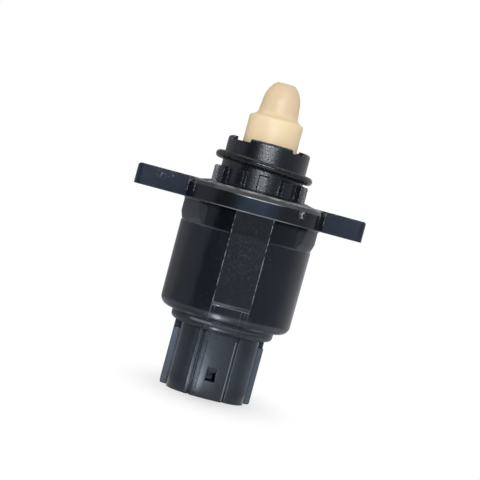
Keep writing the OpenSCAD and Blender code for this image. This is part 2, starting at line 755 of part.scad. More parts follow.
// Compression spring between the guide plate and the inside of the pintle, with closed ends.
module preload_spring() {
    sides = 8;
    per_turn = 20;
    rings = spring_turns * per_turn;
    low = guide_top + spring_wire / 2 + press;
    high = spring_seat_z - spring_wire / 2 - press;
    end_turn = 1 / spring_turns;
    function rise(t) = t < end_turn ? spring_wire * t / end_turn
        : t > 1 - end_turn ? (high - low) - spring_wire * (1 - t) / end_turn
        : spring_wire + (high - low - 2 * spring_wire) * (t - end_turn) / (1 - 2 * end_turn);
    points = [for (i = [0 : rings], k = [0 : sides - 1])
        let (turn = 360 * i / per_turn, a = 360 * k / sides, r = spring_r + spring_wire / 2 * cos(a))
        [r * cos(turn), r * sin(turn), low + rise(i / rings) + spring_wire / 2 * sin(a)]];
    side_faces = [for (i = [0 : rings - 1], k = [0 : sides - 1], half = [0, 1])
        let (a = i * sides + k, b = i * sides + (k + 1) % sides, c = a + sides, d = b + sides)
        half == 0 ? [a, b, d] : [a, d, c]];
    first_cap = [for (k = [1 : sides - 2]) [0, k + 1, k]];
    last = rings * sides;
    last_cap = [for (k = [1 : sides - 2]) [last, last + k, last + k + 1]];
    color("#8e9499") polyhedron(points, concat(side_faces, first_cap, last_cap));
}

// Lead screw: round, with two flats where it passes the guide plate.
module lead_screw() {
    flats_low = web_top - stroke_out - 1;
    flats_high = guide_top + stroke_in + 1;
    edge = 0.4;
    color("#a5a9ae") difference() {
        lathe([
            [0, screw_rear_z], [screw_r - edge, screw_rear_z], [screw_r, screw_rear_z + edge],
            [screw_r, screw_top_z - edge], [screw_r - edge, screw_top_z], [0, screw_top_z],
        ]);
        for (x = [-1, 1]) scale([x, 1, 1])
            block([screw_flats / 2, -2 * screw_r, flats_low], [2 * screw_r, 2 * screw_r, flats_high]);
    }
}

// Pintle: domed tip, sloping shoulder and a hollow skirt with a boss on the screw.
module pintle() {
    slope = atan2(shoulder_h, pintle_r - tip_root_r);
    setback = (1 - sin(slope)) / cos(slope);
    tip_root_z = shoulder_z + shoulder_h;
    dome_z = tip_root_z + tip_cone_h;
    flat_angle = acos(tip_flat_r / tip_neck_r);
    dome_steps = 10;
    boss_z = skirt_z + 3;
    color("#e3c794") difference() {
        lathe(concat(
            [[0, skirt_z], [pintle_r, skirt_z]],
            arc(pintle_r - shoulder_round, shoulder_z - shoulder_round * setback, shoulder_round, 0, 90 - slope),
            arc(tip_root_r + tip_fillet, tip_root_z + tip_fillet * setback, tip_fillet, 270 - slope, 180),
            [for (i = [0 : dome_steps]) let (a = flat_angle * i / dome_steps)
                [tip_neck_r * cos(a), dome_z + dome_h * sin(a)]],
            [[0, dome_z + dome_h * sin(flat_angle)]]
        ));
        tube(pintle_boss_r, pintle_r - skirt_wall, skirt_z - eps, spring_seat_z);
        translate([0, 0, skirt_z - eps]) cylinder(r = pintle_boss_r + eps, h = boss_z - skirt_z + eps);
        translate([0, 0, skirt_z - eps]) cylinder(r = screw_r + press, h = screw_top_z + press - skirt_z + eps);
    }
}

housing();
nose();
sealing_ring();
sleeve(left_hole_x);  // sleeve_left
sleeve(right_hole_x);  // sleeve_right
terminal(-1, -1);  // terminal_1
terminal(0, -1);  // terminal_2
terminal(1, -1);  // terminal_3
terminal(-1, 1);  // terminal_4
terminal(0, 1);  // terminal_5
terminal(1, 1);  // terminal_6
terminal_carrier();
rear_bush();
thrust_washer();
rear_cup_yoke();
rear_plate_yoke();
rear_bobbin();
rear_winding();
front_cup_yoke();
front_plate_yoke();
front_bobbin();
front_winding();
bearing_outer_ring();
wave_washer();
guide_plate();
preload_spring();
rotor_hub();
rotor_magnet();
bearing_inner_ring();
retaining_ring();
bearing_cage();
bearing_balls();
lead_screw();
pintle();
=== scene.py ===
"""Looks of the idle air control valve: surfaces, moulding detail, studio and camera.

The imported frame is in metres: the origin is on the axis at the flange's mounting face, +Z points
towards the pintle and -Y towards the flat pad on the front. Lengths here are in millimetres, and MM
turns them into metres. Materials work in the piece's own coordinates, so they travel with a piece
that moves.
"""

import json
import math

import bpy
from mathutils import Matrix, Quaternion, Vector


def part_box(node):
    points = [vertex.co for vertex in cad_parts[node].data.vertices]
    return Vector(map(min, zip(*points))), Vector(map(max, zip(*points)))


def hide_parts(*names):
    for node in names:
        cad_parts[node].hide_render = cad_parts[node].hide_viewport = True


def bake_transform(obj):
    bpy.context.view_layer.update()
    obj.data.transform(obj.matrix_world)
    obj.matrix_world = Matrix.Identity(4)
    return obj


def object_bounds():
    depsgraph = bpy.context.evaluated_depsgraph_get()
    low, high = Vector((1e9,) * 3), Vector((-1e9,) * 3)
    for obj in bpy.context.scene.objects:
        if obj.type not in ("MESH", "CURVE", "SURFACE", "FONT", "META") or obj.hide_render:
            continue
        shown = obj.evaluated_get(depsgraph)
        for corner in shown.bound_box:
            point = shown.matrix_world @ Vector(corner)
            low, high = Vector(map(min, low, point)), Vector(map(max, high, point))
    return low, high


MM = 0.001
FLANGE_FOOT = -5.25
PAD_FACE = -17.35
# Further from the axis than the body and the connector reach
BEYOND = 20
WHITE = (1, 1, 1)
DARK_LINE = (0.002, 0.002, 0.003)

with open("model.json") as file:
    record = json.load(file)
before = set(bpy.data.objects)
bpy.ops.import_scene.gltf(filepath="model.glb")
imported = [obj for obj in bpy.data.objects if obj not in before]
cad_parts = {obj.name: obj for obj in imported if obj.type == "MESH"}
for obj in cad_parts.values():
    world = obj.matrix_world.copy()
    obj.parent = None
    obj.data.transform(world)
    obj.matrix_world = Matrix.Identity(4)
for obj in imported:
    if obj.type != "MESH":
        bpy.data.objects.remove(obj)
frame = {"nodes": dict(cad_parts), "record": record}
cad_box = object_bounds()


# Helpers

def corner(node):
    """Lowest and highest corner of a CAD node in millimetres."""
    low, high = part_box(node)
    return low / MM, high / MM


def add_object(name, data):
    """A new object in the scene."""
    added = bpy.data.objects.new(name, data)
    bpy.context.scene.collection.objects.link(added)
    return added


def polar(azimuth, radius, height):
    """A place round the object: azimuth 0 is the front and positive is to the right."""
    angle = math.radians(azimuth)
    return Vector((radius * math.sin(angle), -radius * math.cos(angle), height))


def along(points, value):
    """Level read off a line through (place, level) points, flat past both ends."""
    for (low, start), (high, end) in zip(points, points[1:]):
        if value <= high:
            return start + (end - start) * max(0.0, (value - low) / (high - low))
    return points[-1][1]


def bell(value, middle, width):
    """1 at the middle, and falling smoothly to about a third at one width from it."""
    return math.exp(-((value - middle) / width) ** 2)


class Graph:
    """The emptied node tree of a material or world, with short calls for the nodes that it needs."""

    def __init__(self, owner):
        owner.use_nodes = True
        self.nodes = owner.node_tree.nodes
        self.links = owner.node_tree.links
        self.nodes.clear()

    def plug(self, value, socket):
        """Links an output to the socket, or sets the socket to a constant."""
        if isinstance(value, bpy.types.NodeSocket):
            self.links.new(value, socket)
        else:
            socket.default_value = value

    def vector(self, operation, a, b=None, scale=None):
        """Result of a vector operation: a number for lengths and dot products, else a vector."""
        node = self.nodes.new("ShaderNodeVectorMath")
        node.operation = operation
        self.plug(a, node.inputs[0])
        if b is not None:
            self.plug(b, node.inputs[1])
        if scale is not None:
            node.inputs["Scale"].default_value = scale
        if operation in ("LENGTH", "DOT_PRODUCT", "DISTANCE"):
            return node.outputs["Value"]
        return node.outputs[0]

    def math(self, operation, a, b=0.0, clamp=False):
        """Result of an operation on one or two numbers."""
        node = self.nodes.new("ShaderNodeMath")
        node.operation = operation
        node.use_clamp = clamp
        self.plug(a, node.inputs[0])
        self.plug(b, node.inputs[1])
        return node.outputs[0]

    def mix(self, share, first, second):
        """Shader that is the first where the share is 0 and the second where it is 1."""
        node = self.nodes.new("ShaderNodeMixShader")
        for value, socket in zip((share, first, second), node.inputs):
            self.links.new(value, socket)
        return node.outputs[0]

    def seen_directly(self):
        """1 for rays that show the background: from the camera, in a reflection or through glass."""
        path = self.nodes.new("ShaderNodeLightPath")
        seen = path.outputs["Is Camera Ray"]
        for ray in ("Is Glossy Ray", "Is Transmission Ray"):
            seen = self.math("MAXIMUM", seen, path.outputs[ray])
        return seen


# Surfaces

class Surface(Graph):
    """A material of the object under construction."""

    def __init__(self, name, color, roughness, specular=0.5, metallic=0.0):
        self.material = bpy.data.materials.new(name)
        super().__init__(self.material)
        output = self.nodes.new("ShaderNodeOutputMaterial")
        self.shader = self.nodes.new("ShaderNodeBsdfPrincipled")
        self.links.new(self.shader.outputs["BSDF"], output.inputs["Surface"])
        self.shader.inputs["Base Color"].default_value = (*color, 1)
        self.shader.inputs["Roughness"].default_value = roughness
        self.shader.inputs["Specular IOR Level"].default_value = specular
        self.shader.inputs["Metallic"].default_value = metallic
        self.material.diffuse_color = (*color, 1)
        coordinates = self.nodes.new("ShaderNodeTexCoord")
        self.place = self.vector("SCALE", coordinates.outputs["Object"], scale=1 / MM)
        split = self.nodes.new("ShaderNodeSeparateXYZ")
        self.links.new(self.place, split.inputs[0])
        self.x, self.y, self.z = split.outputs
        self.normal = None

    def product(self, first, *others):
        """Product of masks, which is 1 only where all of them are 1."""
        for other in others:
            first = self.math("MULTIPLY", first, other)
        return first

    def ramp(self, value, low, high, start=0.0, end=1.0, smooth=True):
        """Start up to the value low, end from the value high, and a ramp between them."""
        node = self.nodes.new("ShaderNodeMapRange")
        node.interpolation_type = "SMOOTHSTEP" if smooth else "LINEAR"
        self.plug(value, node.inputs["Value"])
        for name, number in (("From Min", low), ("From Max", high), ("To Min", start), ("To Max", end)):
            node.inputs[name].default_value = number
        return node.outputs["Result"]

    def between(self, value, low, high, soft):
        """1 where the value is between low and high, 0 outside, softly at both ends."""
        rise = self.ramp(value, low - soft / 2, low + soft / 2)
        fall = self.ramp(value, high - soft / 2, high + soft / 2, 1.0, 0.0)
        return self.product(rise, fall)

    def region(self, x=None, y=None, z=None, soft=0.2):
        """1 inside a box of ranges."""
        ranges = ((self.x, x), (self.y, y), (self.z, z))
        return self.product(*[self.between(value, *limits, soft) for value, limits in ranges if limits])

    def from_axis(self):
        """Distance from the Z axis."""
        return self.vector("LENGTH", self.vector("MULTIPLY", self.place, (1, 1, 0)))

    def speckle(self, per_mm, detail=2.0, stretch=None, roughness=0.5, seed=0.0):
        """Noise from 0 to 1 with the given number of cells a millimetre."""
        place = self.place
        if stretch:
            place = self.vector("MULTIPLY", place, stretch)
        node = self.nodes.new("ShaderNodeTexNoise")
        node.noise_dimensions = "4D"
        node.inputs["W"].default_value = seed
        self.links.new(place, node.inputs["Vector"])
        node.inputs["Scale"].default_value = per_mm
        node.inputs["Detail"].default_value = detail
        node.inputs["Roughness"].default_value = roughness
        return node.outputs["Fac"]

    def pits(self, per_mm):
        """Distance to the nearest of scattered points, in cells."""
        node = self.nodes.new("ShaderNodeTexVoronoi")
        self.links.new(self.place, node.inputs["Vector"])
        node.inputs["Scale"].default_value = per_mm
        node.inputs["Randomness"].default_value = 1.0
        return node.outputs["Distance"]

    def rings(self, per_mm):
        """Slightly uneven bands across the Z axis, such as turned marks or turns of wire."""
        node = self.nodes.new("ShaderNodeTexWave")
        node.wave_type = "BANDS"
        node.bands_direction = "Z"
        node.wave_profile = "SIN"
        self.links.new(self.place, node.inputs["Vector"])
        node.inputs["Scale"].default_value = per_mm * math.pi / 10
        node.inputs["Distortion"].default_value = 0.4
        return node.outputs["Fac"]

    def tint(self, mask, other):
        """Changes the colour towards another one where the mask is 1."""
        node = self.nodes.new("ShaderNodeMix")
        node.data_type = "RGBA"
        self.plug(mask, node.inputs["Factor"])
        socket = self.shader.inputs["Base Color"]
        if socket.is_linked:
            self.links.new(socket.links[0].from_socket, node.inputs["A"])
        else:
            node.inputs["A"].default_value = socket.default_value
        node.inputs["B"].default_value = (*other, 1)
        self.links.new(node.outputs["Result"], socket)

    def roughen(self, mask, low, high):
        """Adds from low to high to the roughness as the mask goes from 0 to 1."""
        socket = self.shader.inputs["Roughness"]
        now = socket.links[0].from_socket if socket.is_linked else socket.default_value
        total = self.math("ADD", self.ramp(mask, 0, 1, low, high, smooth=False), now, clamp=True)
        self.links.new(total, socket)

    def bump(self, height, depth_mm):
        """Adds relief: the height goes from 0 to 1 over the given depth."""
        node = self.nodes.new("ShaderNodeBump")
        node.inputs["Strength"].default_value = 1.0
        node.inputs["Distance"].default_value = depth_mm * MM
        self.plug(height, node.inputs["Height"])
        if self.normal is not None:
            self.links.new(self.normal, node.inputs["Normal"])
        self.normal = node.outputs["Normal"]
        self.links.new(self.normal, self.shader.inputs["Normal"])

    def sink(self, mask, depth_mm):
        """Adds a groove of the given depth where the mask is 1."""
        self.bump(self.math("SUBTRACT", 1, mask), depth_mm)

    def rounded_normal(self, radius_mm):
        """The surface's normal with sharp edges rounded to this radius."""
        node = self.nodes.new("ShaderNodeBevel")
        node.samples = 4
        node.inputs["Radius"].default_value = radius_mm * MM
        return node.outputs["Normal"]

    def round_edges(self, radius_mm):
        """Shades sharp edges as if they had this radius. It comes before any bump."""
        self.normal = self.rounded_normal(radius_mm)
        self.links.new(self.normal, self.shader.inputs["Normal"])

    def edges(self, radius_mm):
        """1 along sharp edges within about the radius, 0 on flat and gently curved faces."""
        geometry = self.nodes.new("ShaderNodeNewGeometry")
        rounded = self.rounded_normal(radius_mm)
        facing = self.vector("DOT_PRODUCT", rounded, geometry.outputs["Normal"])
        return self.ramp(facing, 0.995, 0.86)


def body_plastic():
    """Semi-gloss moulded black plastic with a blue cast, the marks of moulding and use, and painted
    highlights, sheen and shade.
    """
    s = Surface("body_plastic", (0.0070, 0.0086, 0.0130), 0.12)
    s.round_edges(0.18)
    sides = s.math("ABSOLUTE", s.x)
    front = s.ramp(s.y, -4, -2, 1.0, 0.0)
    s.tint(s.ramp(s.speckle(0.12, 3), 0.35, 0.7), (0.0090, 0.0100, 0.0135))
    s.roughen(s.speckle(0.5, 4, roughness=0.6), -0.04, 0.06)
    s.roughen(s.speckle(2.2, 3, stretch=(1, 1, 0.05), seed=3), -0.02, 0.03)
    dress_connector(s, sides)
    dress_flange(s, sides, front)
    dress_gussets(s, sides)
    dress_mould_lines(s, sides, front)
    dress_wear(s)
    return s.material


def dress_connector(s, sides):
    """Connector: satin and bluer, with painted sheen on the ribs, painted highlights along the latch's
    edges and the corners, painted shade in the groove beside the latch, a scratch, and painted light in
    the window and socket.
    """
    body_foot, far_below = -35.8, -80
    connector = s.region(z=(far_below, body_foot))
    s.tint(connector, (0.0075, 0.0115, 0.0175))
    s.roughen(connector, 0, 0.15)
    rib_root = 10.3
    ribs = s.product(s.between(sides, rib_root, BEYOND, 0.2), connector)
    # Painted sheen: the ribs are drawn paler for the light they reflect; the extra roughness is real.
    s.tint(ribs, (0.050, 0.066, 0.090))
    s.roughen(ribs, 0, 0.25)
    shroud = (-52, -37)
    socket_wide = s.region(x=(-8.6, 8.6), y=(-6.8, 6.8), z=shroud)
    socket_deep = s.region(x=(-7.4, 7.4), y=(-8.0, 8.0), z=shroud)
    # Painted light: the inside of the socket is drawn lighter than its shade.
    s.tint(s.math("MAXIMUM", socket_wide, socket_deep), (0.16, 0.19, 0.25))
    latch_face = (-12, -8.5)
    latch_half, groove_end = 4.15, 4.6
    # Painted highlight along the latch's right edge.
    latch_edge_highlight = s.region(x=(latch_half - 0.3, latch_half), y=latch_face, z=shroud, soft=0.1)
    s.tint(latch_edge_highlight, (0.13, 0.15, 0.18))
    # Painted shade: the groove beside the latch is drawn near black.
    groove = s.region(x=(latch_half, groove_end), y=latch_face, z=(-52.4, -36), soft=0.05)
    s.tint(groove, DARK_LINE)
    # Painted highlight along the groove's outer edge.
    groove_edge_highlight = s.region(x=(groove_end, groove_end + 0.25), y=latch_face, z=shroud, soft=0.1)
    s.tint(groove_edge_highlight, (0.06, 0.07, 0.08))
    scratch = s.region(x=(-3.15, -2.9), y=latch_face, z=(-50.5, -38), soft=0.15)
    s.tint(scratch, DARK_LINE)
    s.sink(scratch, 0.05)
    # Painted light on the window's walls, which would be in shade; the extra roughness is real.
    window = s.region(x=(-1.3, 1.3), y=(-9.75, -7.9), z=(-48.1, -44.5), soft=0.06)
    s.tint(window, (0.055, 0.068, 0.090))
    s.roughen(window, 0, 0.3)
    # Painted highlight along the connector's side edges by the ribs.
    corner_highlight = s.product(s.between(sides, 9.75, 10.0, 0.1), connector)
    s.tint(corner_highlight, (0.10, 0.11, 0.13))


def dress_flange(s, sides, front):
    """Flange: painted bluish sheen on the ears and the middle of the front, painted sheen on the bevel,
    painted highlights along the rim, the lower edge and the slots, a rubbed patch and a pale patch.
    """
    bevel_foot, bevel_top = -1.5, -0.1
    ear_root, disc_r = 17.4, 17.5
    middle = s.product(s.ramp(sides, 3.0, 7.0, 1.0, 0.0), front)
    wall = s.region(z=(FLANGE_FOOT, bevel_foot))
    s.tint(wall, (0.0065, 0.0070, 0.0085))
    # Painted bluish sheen on the middle of the wall's front.
    s.tint(s.product(wall, middle), (0.0120, 0.0200, 0.0310))
    # Painted sheen: the bevel round the rim is drawn lighter.
    bevel = s.product(s.region(z=(bevel_foot, bevel_top)), s.ramp(sides, ear_root, 17.8, 1.0, 0.0))
    s.tint(bevel, (0.0200, 0.0195, 0.0210))
    ears = s.region(z=(FLANGE_FOOT, 0.2))
    # Painted bluish sheen on the ears, lighter towards their ends.
    s.tint(s.product(ears, s.ramp(sides, ear_root, 18.4)), (0.0085, 0.0140, 0.0240))
    s.tint(s.product(ears, s.ramp(sides, 19.0, 27.0, smooth=False)), (0.0150, 0.0195, 0.0330))
    mounting_face = s.between(s.z, bevel_top, 1, 0.1)
    s.roughen(mounting_face, 0, 0.34)
    # Painted highlight: a bright line along the foot of the bevel, in the middle of the front.
    bright = s.product(s.between(s.z, bevel_foot - 0.14, bevel_foot + 0.08, 0.08), middle)
    s.tint(bright, (0.30, 0.32, 0.35))
    uneven = s.ramp(s.speckle(0.7, 4, stretch=(0.4, 1, 3), seed=11), 0.35, 0.65)
    rim = s.product(s.between(s.from_axis(), disc_r - 0.25, disc_r + 0.5, 0.1), front)
    # Painted highlight, uneven, along the rim's top edge at the front.
    top_edge_highlight = s.product(s.between(s.z, -0.6, 0.2, 0.1), rim, uneven)
    s.tint(top_edge_highlight, (0.24, 0.235, 0.24))
    # Painted highlight along the flange's lower front edge, brightest in the middle.
    low_edge_highlight = s.product(s.between(s.z, FLANGE_FOOT - 0.05, FLANGE_FOOT + 0.22, 0.08), front)
    s.tint(s.product(low_edge_highlight, s.ramp(sides, 4.0, 15.0, 1.0, 0.1)), (0.17, 0.18, 0.20))
    # A pale speckled patch on the disc's front.
    pale_patch = s.region(x=(10.4, 11.6), y=(-BEYOND, -8), z=(-3.1, -1.5), soft=0.7)
    s.tint(s.product(pale_patch, s.ramp(s.speckle(1.5, 3, seed=12), 0.4, 0.6)), (0.30, 0.30, 0.31))
    rubbed = s.region(x=(-25.5, -21.0), y=(-8, -6), z=(-2.4, -0.6), soft=1.2)
    s.tint(s.product(rubbed, s.ramp(s.speckle(1.8, 4, seed=13), 0.52, 0.70)), (0.12, 0.12, 0.13))
    slot_ends, half_line = (15.9, 17.5), 0.12
    # Painted highlights: uneven pale lines along the edges of the slots at the front.
    slot = s.region(y=(-12, -5), z=(-3.6, -0.2), soft=0.4)
    for end in slot_ends:
        line = s.product(s.between(sides, end - half_line, end + half_line, 0.08), slot)
        s.tint(s.product(line, uneven), (0.14, 0.15, 0.17))


def dress_gussets(s, sides):
    """Painted shade in the recess under the flange, a painted highlight on the step below, gussets with
    satin faces and matte faces with painted sheen.
    """
    recess = s.between(s.z, -10.7, -5.4, 0.1)
    # Painted shade: the recess under the flange is drawn near black.
    s.tint(recess, (0.0030, 0.0040, 0.0060))
    gusset_foot, half_width, lean = -10.8, 12.1, 0.225
    set_in = s.math("MULTIPLY", s.math("SUBTRACT", s.z, gusset_foot), lean)
    outward = s.math("ADD", s.math("ABSOLUTE", s.y), set_in)
    beside = s.product(recess, s.between(sides, 11.4, BEYOND, 0.1))
    skin = s.product(beside, s.ramp(outward, half_width - 0.12, half_width, 1.0, 0.0))
    # Painted sheen: the gussets' outer faces are drawn paler for the light their matte finish spreads; the
    # extra roughness is real.
    s.tint(skin, (0.026, 0.027, 0.031))
    s.roughen(skin, 0, 0.25)
    trimmed = s.product(recess, s.between(outward, half_width - 0.12, half_width + 0.3, 0.05))
    s.roughen(trimmed, 0, 0.60)
    # Painted highlight along the step below the recess, brighter towards the sides.
    step = s.product(s.between(s.z, -11.15, -10.75, 0.1), s.between(sides, 5.1, BEYOND, 0.2))
    s.tint(s.product(step, s.ramp(sides, 6, 13, 0.3, 1.0)), (0.06, 0.06, 0.065))


def dress_mould_lines(s, sides, front):
    """Ragged flash round the pad, a painted highlight along its foot and, below it, faint mould lines, a
    painted highlight band and a crease on the boss.
    """
    pad_half, pad_foot, pad_top = 4.8, -28.7, -5.4
    ragged = s.ramp(s.speckle(1.6, 4, stretch=(1, 1, 0.5), seed=7), 0.38, 0.62)
    pad_side = s.between(sides, pad_half - 0.22, pad_half + 0.25, 0.1)
    pad_front = s.region(y=(-BEYOND, PAD_FACE + 0.2), z=(pad_foot, pad_top))
    flash = s.product(pad_side, pad_front, ragged)
    s.tint(flash, (0.16, 0.17, 0.19))
    s.roughen(flash, 0, 0.3)
    s.bump(flash, 0.06)
    foot_z = (pad_foot - 0.15, pad_foot + 0.15)
    # Painted highlight along the pad's lower edge, fainter in the middle.
    pad_foot_highlight = s.region(x=(-pad_half, pad_half), y=(-BEYOND, -15), z=foot_z, soft=0.1)
    s.tint(s.product(pad_foot_highlight, s.ramp(sides, 1.0, 4.5, 0.45, 1.0)), (0.14, 0.145, 0.155))

    below = s.product(s.between(s.z, -35.6, pad_foot - 0.3, 0.3), front)
    half_line, faint = 0.1, (0.03, 0.03, 0.032)
    mould_lines = (
        (-4.7, (0.05, 0.045, 0.045)), (-3.6, (0.002, 0.002, 0.002)), (2.9, faint), (4.6, faint))
    for place, paint in mould_lines:
        s.tint(s.product(s.between(s.x, place - half_line, place + half_line, 0.06), below), paint)

    boss_width = s.between(s.x, -9, 10, 3)
    # Painted highlight: a pale band round the boss's front, brightest left of the middle.
    boss_highlight = s.product(s.between(s.z, -34.1, -33.5, 0.3), front)
    s.tint(s.product(boss_highlight, boss_width), (0.030, 0.036, 0.046))
    s.tint(s.product(boss_highlight, s.between(s.x, -8.5, -3.2, 1)), (0.13, 0.145, 0.165))
    crease = s.product(s.between(s.z, -32.8, -32.4, 0.2), s.product(boss_width, front))
    s.sink(crease, 0.06)
    boss = s.between(s.z, -35.7, -30.8, 0.8)
    s.roughen(boss, 0, 0.14)

    mark_x, mark_z = 0.2, -17.6
    across = s.math("POWER", s.math("SUBTRACT", s.x, mark_x), 2)
    upward = s.math("POWER", s.math("SUBTRACT", s.z, mark_z), 2)
    from_mark = s.math("SQRT", s.math("ADD", across, upward))
    ejector_ring = s.product(s.between(from_mark, 2.1, 2.35, 0.1), front)
    s.bump(ejector_ring, 0.008)


def dress_wear(s):
    """Fine handling marks, most of them on the pad, an uneven skin, and lighter edges where hands reach,
    partly rubbed and partly painted highlight.
    """
    pad_middle = (0, PAD_FACE, -17)
    handled = s.ramp(s.speckle(2.0, 6, roughness=0.8, seed=21), 0.48, 0.68)
    handling = s.ramp(s.vector("DISTANCE", s.place, pad_middle), 1.5, 9.0, 0.36, 0.10)
    s.tint(s.product(handled, handling), (0.060, 0.072, 0.084))
    s.roughen(handled, 0, 0.08)
    s.bump(s.speckle(2.2, 5, roughness=0.7), 0.006)
    s.bump(s.speckle(0.25, 2, seed=4), 0.05)
    strength = 0.75
    sheltered = s.between(s.z, -11, -5.3, 0.2)
    exposed = s.math("SUBTRACT", strength, s.math("MULTIPLY", sheltered, strength))
    # Lighter edges: partly wear, partly painted highlight.
    wear_and_edge_highlight = s.product(s.edges(0.16), s.ramp(s.speckle(1.4, 3, seed=2), 0.42, 0.66), exposed)
    s.tint(wear_and_edge_highlight, (0.085, 0.090, 0.100))


def nose_plastic():
    """Black plastic with a fine grain that breaks up the light, and lighter edges, partly rubbed and
    partly painted highlight.
    """
    s = Surface("nose_plastic", (0.0035, 0.0045, 0.0075), 0.25, specular=0.8)
    s.round_edges(0.15)
    s.roughen(s.speckle(2.4, 4), -0.08, 0.12)
    s.bump(s.speckle(3.0, 4, roughness=0.70), 0.022)
    # Lighter edges: partly wear, partly painted highlight.
    wear_and_edge_highlight = s.product(s.edges(0.14), s.ramp(s.speckle(1.8, 3, seed=5), 0.4, 0.65), 0.7)
    s.tint(wear_and_edge_highlight, (0.08, 0.085, 0.095))
    return s.material


def seal_rubber():
    """Black rubber, uneven and dusty from handling."""
    s = Surface("seal_rubber", (0.007, 0.007, 0.008), 0.26)
    dust = s.ramp(s.speckle(1.5, 5, roughness=0.7), 0.48, 0.72)
    s.tint(s.product(dust, 0.3), (0.11, 0.108, 0.106))
    s.roughen(dust, -0.06, 0.24)
    s.bump(s.speckle(1.2, 4, roughness=0.6), 0.06)
    return s.material


def pintle_plastic():
    """Satin cream plastic, a little pinker on the tip."""
    top = corner("pintle")[1].z
    s = Surface("pintle_plastic", (0.80, 0.612, 0.372), 0.42)
    s.shader.inputs["Subsurface Weight"].default_value = 0.12
    s.shader.inputs["Subsurface Radius"].default_value = (0.9, 0.6, 0.35)
    s.shader.inputs["Subsurface Scale"].default_value = 1.2 * MM
    s.round_edges(0.25)
    s.tint(s.ramp(s.z, top - 9.5, top - 7), (0.690, 0.512, 0.318))
    s.tint(s.ramp(s.speckle(0.22, 3), 0.45, 0.75, 0.0, 0.35), (0.74, 0.56, 0.34))
    s.roughen(s.speckle(0.9, 4), -0.05, 0.07)
    s.bump(s.speckle(2.5, 4, roughness=0.65), 0.012)
    s.bump(s.rings(2.0), 0.006)
    return s.material


def plain_plastic(name, color):
    """Moulded plastic of a hidden piece, faintly mottled."""
    s = Surface(name, color, 0.42, specular=0.4)
    s.round_edges(0.12)
    darker = tuple(c * 0.8 for c in color)
    s.tint(s.ramp(s.speckle(0.4, 4), 0.4, 0.75, 0.0, 0.7), darker)
    s.roughen(s.speckle(1.2, 4), -0.06, 0.08)
    s.bump(s.speckle(3.0, 4, roughness=0.7), 0.02)
    return s.material


def metal(name, color, roughness, marks="turned", tarnish=0.3, grain=0.01):
    """Metal with turned or drawn marks, or only the grain of rolled sheet, and a little tarnish."""
    s = Surface(name, color, roughness, metallic=1.0)
    s.round_edges(0.1)
    duller = tuple(c * 0.55 for c in color)
    s.tint(s.ramp(s.speckle(0.9, 5, roughness=0.65), 0.45, 0.8, 0.0, tarnish), duller)
    s.roughen(s.speckle(1.8, 4), -0.06, 0.10)
    if marks == "turned":
        s.bump(s.rings(9.0), grain)
    if marks == "drawn":
        s.bump(s.speckle(5.0, 3, stretch=(1, 1, 0.06)), grain)
    s.bump(s.speckle(4.0, 4, roughness=0.7), grain)
    return s.material


def copper_wire():
    """Enamelled wire laid turn on turn round the bobbin."""
    s = Surface("copper_wire", (0.62, 0.25, 0.10), 0.3, metallic=0.85)
    turns = s.rings(4.5)
    # Painted shade in the hollows between the turns.
    s.tint(s.ramp(turns, 0.0, 0.5, 0.8, 0.0), (0.20, 0.06, 0.02))
    s.roughen(s.speckle(1.0, 3), -0.05, 0.1)
    s.bump(turns, 0.08)
    return s.material


def ferrite():
    """Dark grey ground magnet with small pits."""
    s = Surface("ferrite", (0.060, 0.060, 0.066), 0.5)
    s.round_edges(0.2)
    s.tint(s.ramp(s.speckle(3.0, 4), 0.45, 0.75), (0.035, 0.035, 0.038))
    s.roughen(s.speckle(1.5, 4), -0.1, 0.1)
    s.bump(s.ramp(s.pits(2.5), 0.0, 0.35), 0.02)
    return s.material


MATERIALS = {
    "body_plastic": body_plastic(),
    "nose_plastic": nose_plastic(),
    "seal_rubber": seal_rubber(),
    "pintle_plastic": pintle_plastic(),
    "sleeve_metal": metal("sleeve_metal", (0.60, 0.60, 0.58), 0.30),
    "terminal_metal": metal("terminal_metal", (0.36, 0.37, 0.39), 0.50, marks="drawn", tarnish=0.2),
    "carrier_plastic": plain_plastic("carrier_plastic", (0.036, 0.044, 0.060)),
    "bronze": metal("bronze", (0.46, 0.31, 0.14), 0.45, tarnish=0.6, grain=0.02),
    "yoke_steel": metal("yoke_steel", (0.56, 0.57, 0.59), 0.33, marks="rolled", tarnish=0.35),
    "bobbin_plastic": plain_plastic("bobbin_plastic", (0.72, 0.68, 0.56)),
    "copper_wire": copper_wire(),
    "bearing_steel": metal("bearing_steel", (0.68, 0.69, 0.70), 0.16, tarnish=0.1, grain=0.003),
    "spring_steel": metal("spring_steel", (0.44, 0.45, 0.47), 0.3, marks="drawn"),
    "hub_plastic": plain_plastic("hub_plastic", (0.60, 0.55, 0.43)),
    "ferrite": ferrite(),
    "cage_plastic": plain_plastic("cage_plastic", (0.28, 0.18, 0.08)),
    "screw_steel": metal("screw_steel", (0.60, 0.61, 0.62), 0.25, marks="rolled"),
}


# Pieces

def soften_edges(piece, width_mm, sharp_from):
    """Joins a CAD mesh's faces, rounds edges sharper than the angle in degrees, evens the normals."""
    mesh = piece.data
    for name in ("custom_normal", "sharp_edge", "sharp_face"):
        if name in mesh.attributes:
            mesh.attributes.remove(mesh.attributes[name])
    mesh.shade_smooth()
    weld = piece.modifiers.new("weld", "WELD")
    weld.merge_threshold = 0.001 * MM
    bevel = piece.modifiers.new("edge_round", "BEVEL")
    bevel.width = width_mm * MM
    bevel.segments = 2
    bevel.limit_method = "ANGLE"
    bevel.angle_limit = math.radians(sharp_from)
    bevel.use_clamp_overlap = False
    flatten = piece.modifiers.new("flat_faces", "WEIGHTED_NORMAL")
    flatten.weight = 50


